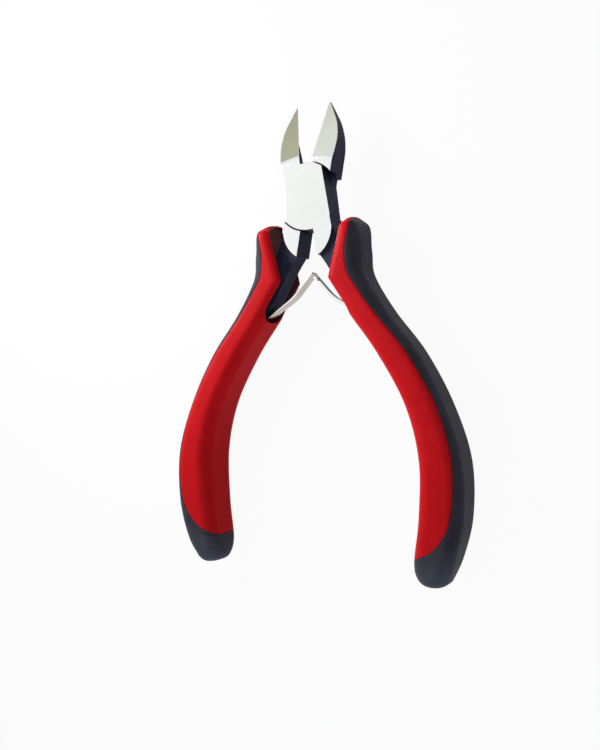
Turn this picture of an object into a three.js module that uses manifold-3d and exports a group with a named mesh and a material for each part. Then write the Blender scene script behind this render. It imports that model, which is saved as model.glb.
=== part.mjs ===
// Small side cutters with a pair of leaf springs and two-colour grips, in millimetres.
// The tool lies flat: the pivot runs along Z, the jaws point along +Y, and Z = 0 is the joint's back face.
// Each half is drawn closed, with its jaw on -X and its handle on +X, and then turned open about the pivot.
// The front half is used as drawn, and the back half is its mirror image with the lap on the other side.
import * as THREE from "three";
import { mergeVertices } from "three/addons/utils/BufferGeometryUtils.js";
import Module from "manifold-3d";

const wasm = await Module();
wasm.setup();

// Joint
const jawOpening = 21; // degrees between the cutting edges, as the springs hold them
const headThickness = 6.5;
const lapGap = 0.14; // running gap between the two lap plates
const plateRadius = 8.3; // round ends of each lap plate
const shoulderClearance = 0.3; // round shoulder of the mating half, outside the plate
const plateHalfWidth = 5.65;
const plateFlare = 1.3; // the plate is this much wider below the pivot, on the jaw's side
const flareStart = 3.65; // distance above the pivot where the flare begins
const flareEnd = 3.9; // distance below the pivot where it ends
const stepDepth = 1.1; // notch in the back half's side, just below its jaw
const stepHeight = 1.85; // height of that notch
const stepSlope = 0.15; // fall of the jaw's underside into it
const rivetRadius = 2.1;
const rivetHeadRadius = 3.1;
const rivetClearance = 0.08; // running fit of the back half on the rivet

// Jaws
const jawLength = 24.2; // pivot to tip
const jawTipWidth = 0.35;
// Outer side of the jaw: share of the plate's half width, at a share of the way from shoulder to tip
const jawSwell = [
  [1, 0.18],
  [0.94, 0.42],
  [0.72, 0.65],
  [0.4, 0.83],
];
const edgeGap = 0.07; // each cutting edge stops this short of the closing line
const edgeStart = 1.1; // the ground facet starts this far past the shoulder
const facetTilt = 16.8; // degrees, slope of the ground front facet
const backTilt = 7; // degrees, slope of the back of the jaw
const backTiltStart = 3.5; // past the shoulder
const edgeRelief = 33; // degrees, bevel behind the cutting edge
const reliefDepth = 2.4;

// Shank and tang
const shankGap = 0.28; // inner face of the shank from the closing line
const shankInnerEnd = 14.6; // pivot to the point where the inner face falls away
const tipRoomDepth = 2; // hollow below that point, clear of the springs' tips: off the closing line
const tipRoomLength = 3.6;
const hollowDepth = 4.2; // the same, further down
const hollowLength = 9.4;
const padReach = 15; // pivot to the low end of the polished pad, along the inner face
const padSide = 9; // pivot to the upper end of the pad's rounded border, on the outer side
const padBulge = 1.5; // how far that border bows out
const padInset = 0.3; // the pad's outer side, inside the plate's
const tangThickness = 4.7; // blackened shank and tang, across the tool
const tangWidth = 4.2;
const tangInset = 2.1; // tang's inner face below the grip's inner face
const tangRise = 0.9; // the same at the springs' seat, where the grip is open
const tangEndStation = 6.7; // along the grip, in stations
const seatStation = 4; // springs' seat

// Leaf springs
const leafWidth = 3;
const leafThickness = 0.6;
const leafApex = 19; // pivot to the point where the two leaves meet
const leafOverrun = 0.3; // each tip passes the middle line by this much
const leafBend = 1.15; // depth of the leaf's knee off the straight line
const leafKnee = 0.51; // place of the knee along the leaf
const kneeRound = 1.6;
const leafSeat = 2; // depth of the slit that holds the root
const leafSlit = 1.5; // width of that slit at its bottom
const slitFlare = 0.8; // the slit widens by this much towards the shank, so that the leaf can bend
const slitMouth = 3; // length of the flare past the seat
const tipNotch = 1.3; // length of the notch in the left leaf, where the right leaf's finger passes behind it
const fingerWidth = 1; // the right leaf's finger, at the back of the leaf's width
const fingerGap = 0.2; // between that finger and the left leaf's
const taperStart = 3.2; // the right leaf narrows to its finger from here, from the leaf's root
const taperEnd = 8.4;

// Grips
const gripTop = 8.7; // pivot to the top of the grip
const gripLength = 88.2; // top to end, along the tool
const gripReach = 26.9; // closing line to the outermost side of the grip
const gripRound = 3.4; // corner radius of the grip's section
const gripClearance = 0.3; // around the tang
const seamGap = 0.3; // between the core and its cover
const hornTipThickness = 9;
const hornThickness = 11.8;
const shaftThickness = 12;
const bulgeThickness = 13.4;
const heelThickness = 12.9;
const toeThickness = 11.8;
const endThickness = 8.6;
const endRound = 1.5; // rounding of the grip's two ends
const slotWall = 1.4; // front and back lips of the open slot in the grip's inner side
const slotEndStation = 3.75;
const plugInset = 2.3; // the core's plug inside the cover's end cap
const plugStart = 7.9;
const plugEnd = 9.5;

// Stations along the grip in the closed pose: inner and outer side as shares of the grip's reach and length
const gripStations = [
  { inner: [0.323, 0], outer: [0.415, 0.001], thickness: hornTipThickness },
  { inner: [0.275, 0.018], outer: [0.456, 0.027], thickness: hornThickness },
  { inner: [0.158, 0.08], outer: [0.444, 0.09], thickness: shaftThickness },
  { inner: [0.06, 0.143], outer: [0.431, 0.158], thickness: shaftThickness },
  { inner: [0.219, 0.253], outer: [0.565, 0.266], thickness: shaftThickness },
  { inner: [0.416, 0.375], outer: [0.784, 0.395], thickness: shaftThickness },
  { inner: [0.591, 0.525], outer: [0.937, 0.543], thickness: (shaftThickness + bulgeThickness) / 2 },
  { inner: [0.63, 0.672], outer: [1, 0.695], thickness: bulgeThickness },
  { inner: [0.53, 0.82], outer: [0.922, 0.841], thickness: heelThickness },
  { inner: [0.41, 0.929], outer: [0.765, 0.942], thickness: toeThickness },
  { inner: [0.372, 0.98], outer: [0.622, 0.997], thickness: endThickness },
];
const beakStation = 3;

// The seam between core and cover: how far across the grip it lies, from the outer side, at a station
const seamCrossing = [
  [0.2, -0.1],
  [0.6, 0.2],
  [1, 0.36],
  [1.5, 0.42],
  [2, 0.43],
  [3, 0.3],
  [4, 0.24],
  [5, 0.19],
  [6, 0.13],
  [7, 0.15],
  [7.7, 0.19],
  [8.15, 0.26],
  [8.5, 0.42],
  [8.77, 0.68],
  [8.93, 1.15],
];

// Floor of the open slot, in the same terms
const slotFloor = [
  [0.95, 0.8],
  [2, 0.63],
  [3, 0.46],
  [4.4, 0.4],
];

// Values that follow from the driving dimensions
const middle = headThickness / 2;
const halfTurn = THREE.MathUtils.degToRad(jawOpening / 2);
const shoulderRadius = plateRadius + shoulderClearance;
const edgeBase = shoulderRadius + edgeStart;
const padSideX = plateHalfWidth - padInset;
const arcSteps = 48;
const reach = 200; // longer than the tool, for cutting blocks
const past = 1; // cuts run this far past a face

// Turns a point of the closed pose, in the tool's plane.
function turned([x, y], angle) {
  return new THREE.Vector2(x, y).rotateAround(new THREE.Vector2(), angle);
}

// A closed solid from a geometry, with its shared corners merged.
function solid(geometry) {
  geometry.deleteAttribute("normal");
  geometry.deleteAttribute("uv");
  const merged = mergeVertices(geometry, 1e-4);
  const vertProperties = merged.attributes.position.array;
  const triVerts = new Uint32Array(merged.index.array);
  return new wasm.Manifold(new wasm.Mesh({ numProp: 3, vertProperties, triVerts }));
}

// A flat outline raised from one height to another.
function prism(points, bottom, top) {
  const shape = new THREE.Shape(points.map((p) => (p.isVector2 ? p : new THREE.Vector2(...p))));
  const geometry = new THREE.ExtrudeGeometry(shape, { depth: top - bottom, bevelEnabled: false });
  return solid(geometry.translate(0, 0, bottom));
}

// An outline in Y and Z, carried right across the tool along X.
function crossPrism(points) {
  const shape = new THREE.Shape(points.map((p) => new THREE.Vector2(...p)));
  const geometry = new THREE.ExtrudeGeometry(shape, { depth: reach, bevelEnabled: false });
  const axes = [new THREE.Vector3(0, 1, 0), new THREE.Vector3(0, 0, 1), new THREE.Vector3(1, 0, 0)];
  geometry.applyMatrix4(new THREE.Matrix4().makeBasis(...axes));
  return solid(geometry.translate(-reach / 2, 0, 0));
}

// A round disc about the pivot.
function disc(radius, bottom, top) {
  const geometry = new THREE.CylinderGeometry(radius, radius, top - bottom, arcSteps);
  return solid(geometry.rotateX(Math.PI / 2).translate(0, 0, (bottom + top) / 2));
}

// Points of a smooth curve through a few given ones.
function smooth(points, steps) {
  return new THREE.SplineCurve(points.map((p) => new THREE.Vector2(...p))).getPoints(steps);
}

// A curve moved sideways, to the left of its direction.
function offset(points, distance) {
  return points.map((point, i) => {
    const before = points[Math.max(i - 1, 0)];
    const after = points[Math.min(i + 1, points.length - 1)];
    const along = after.clone().sub(before).normalize();
    return point.clone().add(new THREE.Vector2(-along.y, along.x).multiplyScalar(distance));
  });
}

// A value read between the listed stations.
function between(table, station) {
  const next = table.findIndex(([at]) => at >= station);
  if (next <= 0) return table[next === 0 ? 0 : table.length - 1][1];
  const [[at0, value0], [at1, value1]] = table.slice(next - 1, next + 1);
  return THREE.MathUtils.mapLinear(station, at0, at1, value0, value1);
}

// The grip's two sides as smooth curves, and its thickness, at any station along it.
const lastStation = gripStations.length - 1;
const gripPoint = ([side, along]) => new THREE.Vector2(side * gripReach, -gripTop - along * gripLength);
const innerPoints = gripStations.map((s) => gripPoint(s.inner));
const mouthCurve = new THREE.SplineCurve(innerPoints.slice(0, beakStation + 1));
const innerCurve = new THREE.SplineCurve(innerPoints.slice(beakStation));
const outerCurve = new THREE.SplineCurve(gripStations.map((s) => gripPoint(s.outer)));

function innerSide(station) {
  if (station <= beakStation) return mouthCurve.getPoint(station / beakStation);
  return innerCurve.getPoint((station - beakStation) / (lastStation - beakStation));
}

function outerSide(station) {
  return outerCurve.getPoint(station / lastStation);
}

function gripThickness(station) {
  return between(
    gripStations.map((s, i) => [i, s.thickness]),
    station,
  );
}

// A point across the grip: 0 is its outer side and 1 its inner side.
function across(station, share) {
  return outerSide(station).lerp(innerSide(station), share);
}

// One section of the grip: a rectangle with round corners, standing across it.
function gripRing(station, inset) {
  const cornerSteps = 5;
  const fullest = 0.96; // a corner takes at most this share of the half section
  const inner = innerSide(station);
  const outer = outerSide(station);
  const side = outer.clone().sub(inner).normalize();
  const halfWidth = inner.distanceTo(outer) / 2 - inset;
  const halfThickness = gripThickness(station) / 2 - inset;
  const round = Math.min(gripRound, fullest * halfWidth, fullest * halfThickness);
  const centre = inner.lerp(outer, 0.5);
  const ring = [];
  for (const [signWidth, signHeight, start] of [[1, 1, 0], [-1, 1, 1], [-1, -1, 2], [1, -1, 3]]) {
    for (let i = 0; i <= cornerSteps; i++) {
      const angle = ((start + i / cornerSteps) * Math.PI) / 2;
      const width = signWidth * (halfWidth - round) + round * Math.cos(angle);
      const height = signHeight * (halfThickness - round) + round * Math.sin(angle);
      const place = centre.clone().add(side.clone().multiplyScalar(width));
      ring.push(new THREE.Vector3(place.x, place.y, middle + height));
    }
  }
  return ring;
}

// A closed skin over rings of equal count, with a flat end on the first and the last.
function loft(rings) {
  const count = rings[0].length;
  const positions = rings.flat().flatMap((p) => p.toArray());
  const index = [];
  for (let k = 0; k + 1 < rings.length; k++) {
    for (let i = 0; i < count; i++) {
      const a = k * count + i;
      const b = k * count + ((i + 1) % count);
      index.push(a, b, b + count, a, b + count, a + count);
    }
  }
  const last = (rings.length - 1) * count;
  for (let i = 1; i + 1 < count; i++) {
    index.push(0, i + 1, i);
    index.push(last, last + i, last + i + 1);
  }
  const geometry = new THREE.BufferGeometry();
  geometry.setAttribute("position", new THREE.Float32BufferAttribute(positions, 3));
  return solid(geometry.setIndex(index));
}

// The whole grip's outer form, with round ends.
function gripForm() {
  const steps = 3; // rings to a station
  const rings = [];
  rings.push(gripRing(0, endRound / 2));
  for (let k = 1; k <= lastStation * steps; k++) rings.push(gripRing(k / steps, 0));
  const along = innerCurve.getTangent(1);
  for (const angle of [45, 90].map(THREE.MathUtils.degToRad)) {
    const shift = new THREE.Vector3(along.x, along.y, 0).multiplyScalar(endRound * Math.sin(angle));
    rings.push(gripRing(lastStation, endRound * (1 - Math.cos(angle))).map((p) => p.add(shift)));
  }
  return loft(rings);
}

// The end plug that holds the cover's cap.
function gripPlug(extra) {
  const steps = 5;
  const rings = [];
  for (let k = 0; k <= steps; k++) {
    const station = THREE.MathUtils.lerp(plugStart, plugEnd, k / steps);
    rings.push(gripRing(station, plugInset - extra));
  }
  const along = innerCurve.getTangent(1);
  const end = new THREE.Vector3(along.x, along.y, 0).multiplyScalar(extra);
  if (extra > 0) rings.push(rings[steps].map((p) => p.clone().add(end)));
  return loft(rings);
}

// The tang's inner face: close under the surface at the springs' seat, deeper further down.
function tangFace(station) {
  const along = innerCurve.getTangent((station - beakStation) / (lastStation - beakStation));
  const sunk = THREE.MathUtils.smoothstep(station, seatStation, seatStation + 1);
  const inset = THREE.MathUtils.lerp(tangRise, tangInset, sunk);
  return innerSide(station).add(new THREE.Vector2(-along.y, along.x).multiplyScalar(inset));
}

// Outline of the shank below the pad and the tang inside the grip, grown by a clearance.
function tangOutline(grow) {
  const hollowSteps = 10;
  const faceSteps = 14;
  const face = smooth(
    [
      [shankGap, -shankInnerEnd],
      [tipRoomDepth, -(shankInnerEnd + tipRoomLength)],
      [hollowDepth, -(shankInnerEnd + hollowLength)],
      tangFace(seatStation).toArray(),
    ],
    hollowSteps,
  );
  for (let i = 1; i <= faceSteps; i++) {
    face.push(tangFace(THREE.MathUtils.lerp(seatStation, tangEndStation, i / faceSteps)));
  }
  const outerFace = offset(face.slice(hollowSteps / 2 + 1), tangWidth);
  const inner = offset([new THREE.Vector2(shankGap, -padSide), ...face], -grow);
  const outer = offset(outerFace, grow);
  const tip = inner[inner.length - 1].clone().sub(inner[inner.length - 2]).normalize().multiplyScalar(grow);
  inner.push(inner[inner.length - 1].clone().add(tip));
  outer.push(outer[outer.length - 1].clone().add(tip));
  return [...inner, ...outer.reverse(), new THREE.Vector2(padSideX + grow, -padSide)];
}

// The rivet, or the hole for it, as a turned form with a countersunk head at each face.
function rivetForm(grow, overrun) {
  const head = rivetHeadRadius + grow;
  const shaft = rivetRadius + grow;
  const depth = head - shaft;
  const profile = [
    [0, -overrun],
    [head + overrun, -overrun],
    [shaft, depth],
    [shaft, headThickness - depth],
    [head + overrun, headThickness + overrun],
    [0, headThickness + overrun],
  ];
  const geometry = new THREE.LatheGeometry(profile.map((p) => new THREE.Vector2(...p)), arcSteps);
  return solid(geometry.rotateX(Math.PI / 2));
}

// Path of a leaf spring from the bottom of its slit to its tip, on the handle's own side, in the open pose.
function leafPath() {
  const seat = turned(tangFace(seatStation).toArray(), halfTurn);
  const apex = new THREE.Vector2(0, -leafApex);
  const chord = apex.clone().sub(seat);
  const inward = new THREE.Vector2(-chord.y, chord.x).normalize();
  const knee = seat.clone().lerp(apex, leafKnee).add(inward.multiplyScalar(leafBend));
  const rootWay = knee.clone().sub(seat).normalize();
  const tipWay = apex.clone().sub(knee).normalize();
  const root = seat.clone().sub(rootWay.clone().multiplyScalar(leafSeat));
  const path = new THREE.Path();
  path.moveTo(root.x, root.y);
  const kneeIn = knee.clone().sub(rootWay.clone().multiplyScalar(kneeRound));
  const kneeOut = knee.clone().add(tipWay.clone().multiplyScalar(kneeRound));
  path.lineTo(kneeIn.x, kneeIn.y);
  path.quadraticCurveTo(knee.x, knee.y, kneeOut.x, kneeOut.y);
  const tip = apex.clone().add(tipWay.clone().multiplyScalar(leafOverrun / Math.abs(tipWay.x)));
  path.lineTo(tip.x, tip.y);
  const kneeSteps = 6;
  return { points: path.getPoints(kneeSteps), seat, rootWay, tipWay, tip };
}

// A strip along a path, as wide as asked and standing along Z.
function strip(points, thickness, bottom, top) {
  return prism([...offset(points, thickness / 2), ...offset(points, -thickness / 2).reverse()], bottom, top);
}

// An outline along a leaf and in Z, carried across the leaf.
function leafPrism(points, start, way) {
  const depth = 3 * leafWidth;
  const shape = new THREE.Shape(points.map((p) => new THREE.Vector2(...p)));
  const geometry = new THREE.ExtrudeGeometry(shape, { depth, bevelEnabled: false });
  const along = new THREE.Vector3(way.x, way.y, 0);
  const upright = new THREE.Vector3(0, 0, 1);
  const axes = new THREE.Matrix4().makeBasis(along, upright, along.clone().cross(upright));
  geometry.translate(0, 0, -depth / 2).applyMatrix4(axes);
  return solid(geometry.translate(start.x, start.y, 0));
}

const leafBack = middle - leafWidth / 2;
const leafFront = middle + leafWidth / 2;
const fingerFront = leafBack + fingerWidth;

// The right leaf: it narrows to a long finger at the back of its width.
function rightLeaf() {
  const { points, rootWay } = leafPath();
  const outline = [
    [taperStart, leafFront],
    [taperEnd, fingerFront],
    [2 * leafApex, fingerFront],
    [2 * leafApex, leafFront + past],
    [taperStart, leafFront + past],
  ];
  return strip(points, leafThickness, leafBack, leafFront).subtract(leafPrism(outline, points[0], rootWay));
}

// The left leaf, drawn on the right: full width up to its tip, with a notch for the other's finger.
function leftLeaf() {
  const { points, tipWay, tip } = leafPath();
  const shoulder = -(tipNotch + leafOverrun);
  const outline = [
    [shoulder, leafBack - past],
    [past, leafBack - past],
    [past, fingerFront + fingerGap],
    [shoulder, fingerFront + fingerGap],
  ];
  return strip(points, leafThickness, leafBack, leafFront).subtract(leafPrism(outline, tip, tipWay));
}

// One steel half. Its lap plate lies at the front or at the back of the joint.
function half(lapInFront) {
  const lapBottom = lapInFront ? middle + lapGap / 2 : 0;
  const lapTop = lapInFront ? headThickness : middle - lapGap / 2;
  const clearBottom = lapInFront ? -past : middle - lapGap / 2;
  const clearTop = lapInFront ? middle + lapGap / 2 : headThickness + past;
  const notch = lapInFront ? 0 : stepDepth;

  // Jaw, with a swelling outer side that runs to the tip
  const swell = jawLength - shoulderRadius;
  const swellSteps = 16;
  const bulge = jawSwell.map(([width, way]) => [-width * plateHalfWidth, shoulderRadius + way * swell]);
  const jawSide = smooth([...bulge, [-jawTipWidth, jawLength]], swellSteps);
  const jawBase = flareStart + stepHeight;
  const jaw = prism(
    [[-edgeGap, jawBase], [-plateHalfWidth, jawBase], ...jawSide, [-edgeGap, jawLength]],
    0,
    headThickness,
  );

  // Lap plate with round ends, flared on the jaw's side
  const flare = plateHalfWidth + plateFlare;
  const plateSides = prism(
    [
      [-plateHalfWidth, 2 * plateRadius],
      [-plateHalfWidth, jawBase],
      [-plateHalfWidth + notch, jawBase - stepSlope],
      [-plateHalfWidth + notch, flareStart],
      [-flare, -flareEnd],
      [-flare, -2 * plateRadius],
      [padSideX, -2 * plateRadius],
      [plateHalfWidth, 2 * plateRadius],
    ],
    lapBottom,
    lapTop,
  );
  const plate = disc(plateRadius, lapBottom, lapTop).intersect(plateSides);

  // Polished pad below the joint, with a rounded lower border
  const border = new THREE.QuadraticBezierCurve(
    new THREE.Vector2(padSideX, -padSide),
    new THREE.Vector2((padSideX + shankGap) / 2 + padBulge, -(padSide + padReach) / 2 - padBulge),
    new THREE.Vector2(shankGap, -padReach),
  );
  const borderSteps = 8;
  const padTop = [
    [shankGap, -flareStart],
    [padSideX, -flareStart],
  ];
  const pad = prism([...padTop, ...border.getPoints(borderSteps)], 0, headThickness);

  const blade = jaw.add(pad).subtract(disc(shoulderRadius, clearBottom, clearTop)).add(plate);

  // Ground facet in front, slight slope behind
  const far = jawLength + headThickness;
  const facetDrop = (far - edgeBase) * Math.tan(THREE.MathUtils.degToRad(facetTilt));
  const facet = crossPrism([
    [edgeBase, headThickness],
    [far, headThickness - facetDrop],
    [far, 2 * headThickness],
    [edgeBase, 2 * headThickness],
  ]);
  const backStart = shoulderRadius + backTiltStart;
  const backRise = (far - backStart) * Math.tan(THREE.MathUtils.degToRad(backTilt));
  const backSlope = crossPrism([
    [backStart, 0],
    [far, backRise],
    [far, -headThickness],
    [backStart, -headThickness],
  ]);

  // Bevel behind the cutting edge, along the facet's slope
  const bevelDrop = reliefDepth / Math.tan(THREE.MathUtils.degToRad(edgeRelief));
  const bevelShape = new THREE.Shape(
    [
      [past, 0],
      [0, 0],
      [-reliefDepth, -bevelDrop],
      [-reliefDepth, -2 * headThickness],
      [past, -2 * headThickness],
    ].map((p) => new THREE.Vector2(...p)),
  );
  const bevelGeometry = new THREE.ExtrudeGeometry(bevelShape, { depth: reach, bevelEnabled: false });
  const slope = THREE.MathUtils.degToRad(facetTilt);
  const facetNormal = new THREE.Vector3(0, Math.sin(slope), Math.cos(slope));
  const towardsBase = new THREE.Vector3(0, -Math.cos(slope), Math.sin(slope));
  const sideways = new THREE.Vector3(1, 0, 0);
  bevelGeometry.applyMatrix4(new THREE.Matrix4().makeBasis(sideways, facetNormal, towardsBase));
  const edgeRoot = new THREE.Vector3(-edgeGap, edgeBase, headThickness);
  const bevelStart = edgeRoot.addScaledVector(towardsBase, -reach);
  const bevel = solid(bevelGeometry.translate(...bevelStart.toArray()));

  const tang = prism(tangOutline(0), middle - tangThickness / 2, middle + tangThickness / 2);

  // Slit for the leaf's root
  const { seat, rootWay } = leafPath();
  const shankWay = new THREE.Vector2(rootWay.y, -rootWay.x);
  const slitPoint = (along, sideways) => {
    const place = seat.clone().addScaledVector(rootWay, along).addScaledVector(shankWay, sideways);
    return turned(place.toArray(), -halfTurn);
  };
  const slitBottom = -leafSeat - gripClearance;
  const slit = prism(
    [
      slitPoint(slitBottom, -leafSlit / 2),
      slitPoint(slitBottom, leafSlit / 2),
      slitPoint(slitMouth, leafSlit / 2 + slitFlare),
      slitPoint(slitMouth, -leafSlit / 2),
    ],
    -past,
    headThickness + past,
  );
  return blade
    .subtract(facet)
    .subtract(backSlope)
    .subtract(bevel)
    .add(tang.subtract(slit))
    .subtract(rivetForm(rivetClearance, past));
}

// Seam between core and cover, seen from the front, moved towards the cover by a gap.
function seamLine(gap) {
  const seamSteps = 40;
  const first = seamCrossing[0][0];
  const last = seamCrossing[seamCrossing.length - 1][0];
  const line = [];
  for (let i = 0; i <= seamSteps; i++) {
    const station = THREE.MathUtils.lerp(first, last, i / seamSteps);
    line.push(across(station, between(seamCrossing, station)));
  }
  return offset(line, gap);
}

// Everything on the core's side of the seam.
function coreSide(gap) {
  const line = seamLine(gap);
  const top = line[0].clone().add(new THREE.Vector2(0, shaftThickness));
  const low = line[line.length - 1].y;
  return prism([top, ...line, [-reach, low], [-reach, top.y]], -reach, reach);
}

// The open slot in the core's inner side, with a round lower end.
function gripSlot() {
  const slotSteps = 16;
  const halfSlot = shaftThickness / 2 - slotWall;
  const floor = [];
  for (let i = 0; i <= slotSteps; i++) {
    const station = THREE.MathUtils.lerp(slotFloor[0][0], slotEndStation, i / slotSteps);
    floor.push(across(station, between(slotFloor, station)));
  }
  const end = innerSide(slotEndStation);
  const inward = floor[floor.length - 1].clone().sub(end).normalize();
  const outside = end.clone().sub(inward.clone().multiplyScalar(shaftThickness));
  const mouth = new THREE.Vector2(outside.x, floor[0].y);
  const open = prism([...floor, outside, mouth], middle - halfSlot, middle + halfSlot);
  const depth = floor[floor.length - 1].distanceTo(outside);
  const geometry = new THREE.CylinderGeometry(halfSlot, halfSlot, depth, arcSteps);
  geometry.rotateZ(Math.atan2(inward.y, inward.x) - Math.PI / 2);
  const centre = outside.clone().lerp(floor[floor.length - 1], 0.5);
  return open.add(solid(geometry.translate(centre.x, centre.y, middle)));
}

function gripCore() {
  const pocketHeight = tangThickness / 2 + gripClearance;
  const pocket = prism(tangOutline(gripClearance), middle - pocketHeight, middle + pocketHeight);
  const shell = gripForm().intersect(coreSide(0));
  return shell.add(gripPlug(0)).subtract(gripSlot()).subtract(pocket);
}

function gripCover() {
  return gripForm().subtract(coreSide(seamGap)).subtract(gripPlug(seamGap));
}

// Materials
const toolSteel = new THREE.MeshStandardMaterial({ color: 0x9ea3a6, roughness: 0.35, metalness: 1 });
const springSteel = new THREE.MeshStandardMaterial({ color: 0xb0a89f, roughness: 0.3, metalness: 1 });
const redPlastic = new THREE.MeshStandardMaterial({ color: 0xc81e23, roughness: 0.45, metalness: 0 });
const softBlack = new THREE.MeshStandardMaterial({ color: 0x2b2c31, roughness: 0.7, metalness: 0 });

// A named mesh from a finished solid.
function piece(name, form, material) {
  const { vertProperties, triVerts } = form.getMesh();
  const geometry = new THREE.BufferGeometry();
  geometry.setAttribute("position", new THREE.BufferAttribute(vertProperties, 3));
  geometry.setIndex(new THREE.BufferAttribute(triVerts, 1));
  geometry.computeVertexNormals();
  const mesh = new THREE.Mesh(geometry, material);
  mesh.name = name;
  return mesh;
}

// Assembly: the front half with the right grip, and the back half with the left grip as its mirror image
const sideCutters = new THREE.Group();

const frontSide = new THREE.Group();
frontSide.rotation.z = halfTurn;
const backSide = new THREE.Group();
backSide.rotation.z = -halfTurn;
backSide.scale.x = -1;
const mirrored = new THREE.Group();
mirrored.scale.x = -1;
sideCutters.add(frontSide, backSide, mirrored);

const core = gripCore();
const cover = gripCover();
frontSide.add(piece("front_half", half(true), toolSteel));
frontSide.add(piece("right_grip_core", core, redPlastic));
frontSide.add(piece("right_grip_cover", cover, softBlack));
backSide.add(piece("back_half", half(false), toolSteel));
backSide.add(piece("left_grip_core", core, redPlastic));
backSide.add(piece("left_grip_cover", cover, softBlack));
sideCutters.add(piece("pivot_rivet", rivetForm(0, 0), toolSteel));
sideCutters.add(piece("right_leaf_spring", rightLeaf(), springSteel));
mirrored.add(piece("left_leaf_spring", leftLeaf(), springSteel));

export default sideCutters;
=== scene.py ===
"""Looks of the side cutters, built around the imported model.

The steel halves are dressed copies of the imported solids. The grips, leaf springs and rivet are finer
pieces that stand for theirs. Drawing sizes are in millimetres, and every finished mesh is in metres
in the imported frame.
"""

from __future__ import annotations

import logging
import math
from dataclasses import dataclass
from enum import Enum

import bmesh
import bpy
import numpy as np
from mathutils import Matrix, Vector

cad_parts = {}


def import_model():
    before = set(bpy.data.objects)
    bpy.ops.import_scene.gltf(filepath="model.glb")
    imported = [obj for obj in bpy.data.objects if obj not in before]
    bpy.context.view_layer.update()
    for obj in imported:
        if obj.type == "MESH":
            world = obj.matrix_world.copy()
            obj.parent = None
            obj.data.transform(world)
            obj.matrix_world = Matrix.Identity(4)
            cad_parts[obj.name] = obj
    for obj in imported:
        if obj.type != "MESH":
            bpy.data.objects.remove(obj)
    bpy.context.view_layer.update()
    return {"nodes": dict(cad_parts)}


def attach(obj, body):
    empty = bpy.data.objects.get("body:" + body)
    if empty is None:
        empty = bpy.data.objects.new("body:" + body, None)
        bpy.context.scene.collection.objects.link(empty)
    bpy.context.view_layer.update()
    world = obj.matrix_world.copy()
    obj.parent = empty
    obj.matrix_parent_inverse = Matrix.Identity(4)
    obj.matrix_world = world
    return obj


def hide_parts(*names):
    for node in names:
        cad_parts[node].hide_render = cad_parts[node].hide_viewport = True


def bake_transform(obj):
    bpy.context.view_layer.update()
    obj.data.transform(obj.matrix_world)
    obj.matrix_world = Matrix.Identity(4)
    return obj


LOG = logging.getLogger("side_cutters")

MM = 0.001
JAW_OPENING = 21.0  # degrees between the cutting edges at rest
HEAD_THICKNESS = 6.5
MIDDLE = HEAD_THICKNESS / 2
HALF_TURN = math.radians(JAW_OPENING / 2)
QUARTER = math.pi / 2
TINY = 1e-6  # slack when two lengths or stations are compared
SHEEN_AND_WEAR = "sheen_and_wear"  # a mesh's own value for places with wear and a painted sheen, from 0 to 1

Triple = tuple[float, float, float]
Colour = Triple
Pair = tuple[float, float]
Line = np.ndarray
Socket = bpy.types.NodeSocket


class Side(Enum):
    """The handle's side of the tool, as the camera sees it."""

    RIGHT = "right"
    LEFT = "left"

    @property
    def body(self) -> str:
        """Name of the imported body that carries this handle."""
        return "front" if self is Side.RIGHT else "back"

    @property
    def sign(self) -> int:
        """Plus one for the side that is used as drawn, and minus one for its mirror image."""
        return 1 if self is Side.RIGHT else -1

    @property
    def mirroring(self) -> Matrix:
        """From the right side of the tool to this one."""
        return Matrix.Diagonal((self.sign, 1, 1, 1))

    @property
    def opening(self) -> Matrix:
        """From the closed drawing of the right handle, in mm, to this side of the open tool, in m."""
        turn = Matrix.Rotation(self.sign * HALF_TURN, 4, "Z")
        return turn @ self.mirroring @ Matrix.Scale(MM, 4)


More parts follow.
